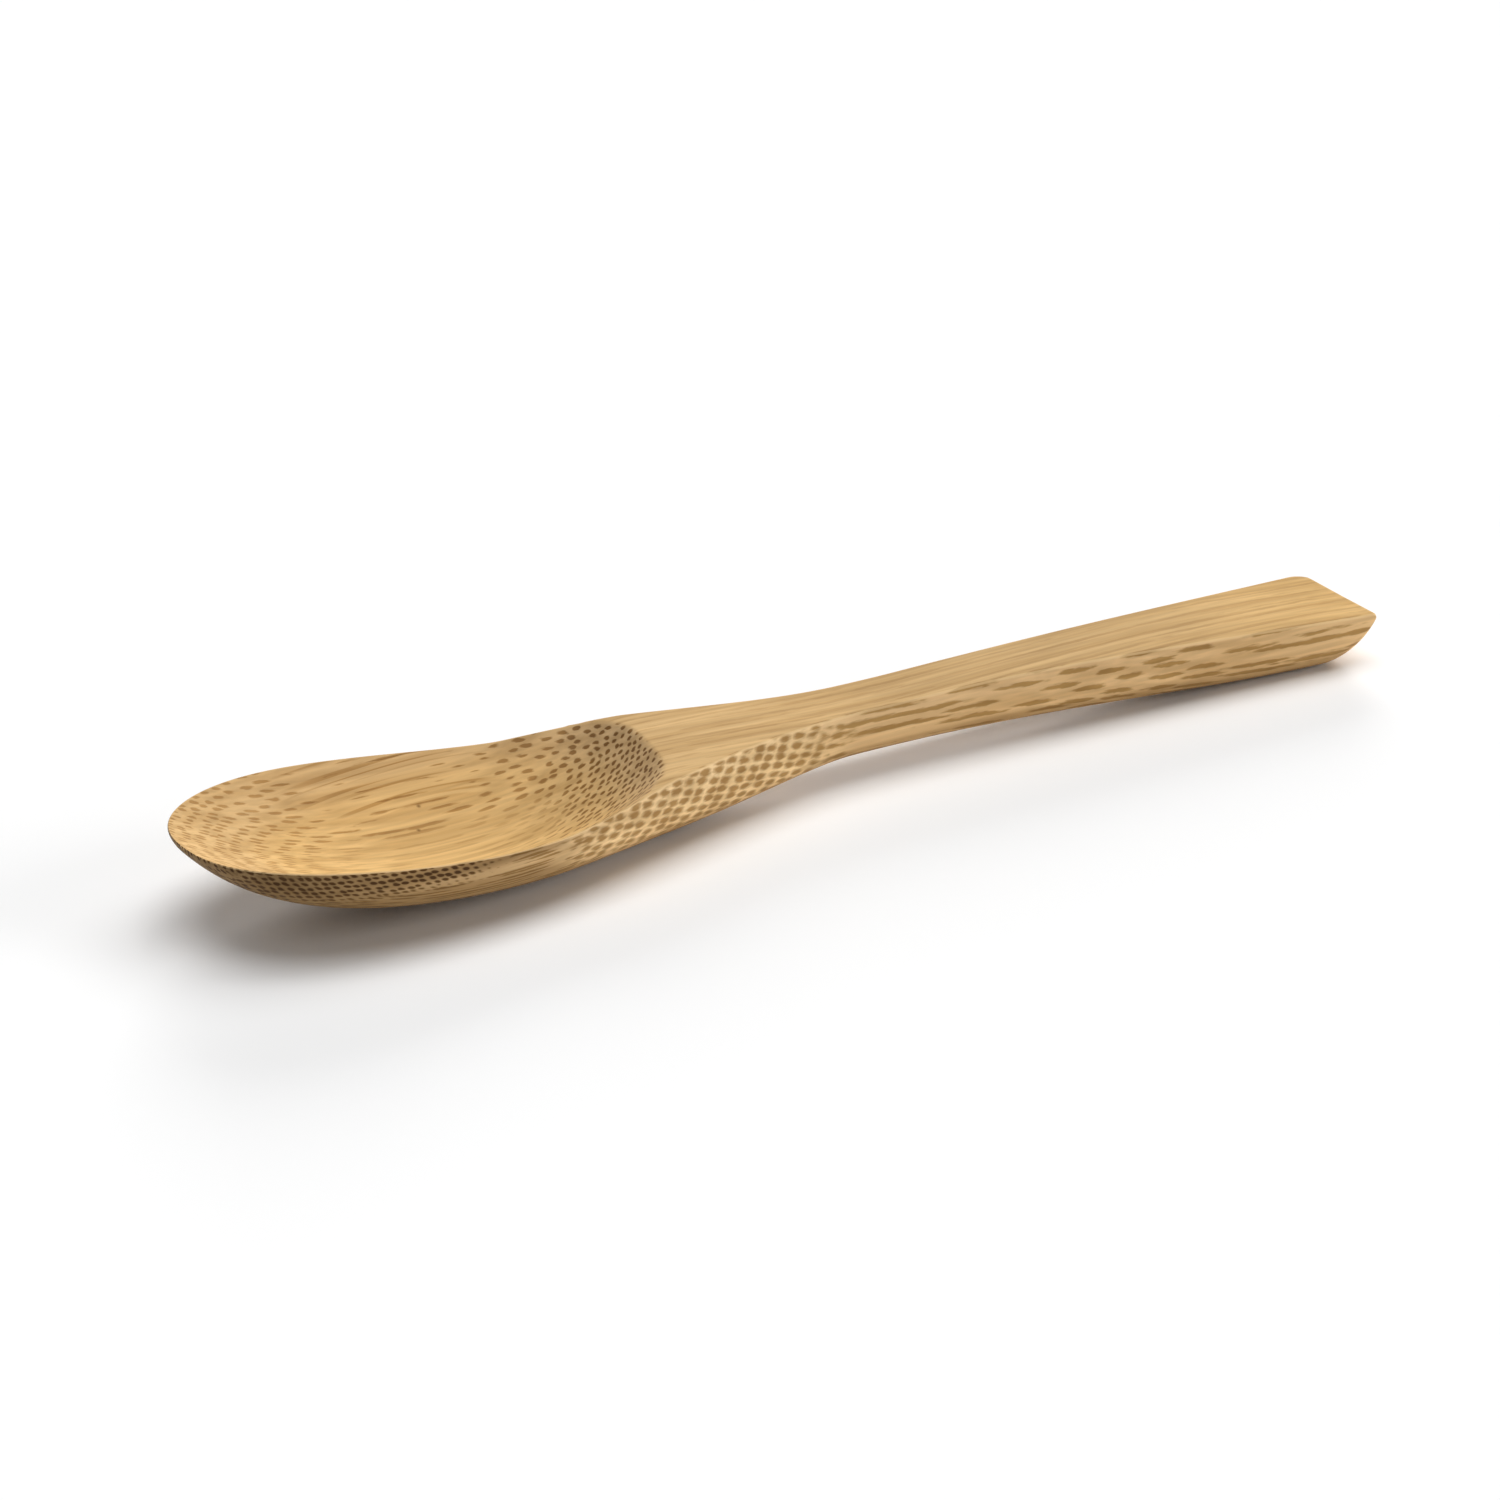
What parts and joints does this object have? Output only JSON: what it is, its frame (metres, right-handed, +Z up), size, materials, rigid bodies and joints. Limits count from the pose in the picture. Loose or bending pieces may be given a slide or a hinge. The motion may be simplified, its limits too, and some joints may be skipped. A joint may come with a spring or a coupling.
{
  "type": "serving spoon",
  "caption": "Small one-piece bamboo serving spoon with a hollowed oval bowl, a slim arched neck and a flat-topped handle that widens to a square end.",
  "frame": {"origin": "on the table, under the middle of the spoon's length and width", "axes": "+X from the bowl's tip to the handle's end, +Z up out of the bowl's hollow"},
  "size_m": [0.15, 0.0292, 0.0114],
  "materials": {
    "bamboo": "sanded solid bamboo, satin, with its grain along the spoon"
  },
  "bodies": {
    "root": {"spoon_body": "bamboo"}
  },
  "joints": []
}
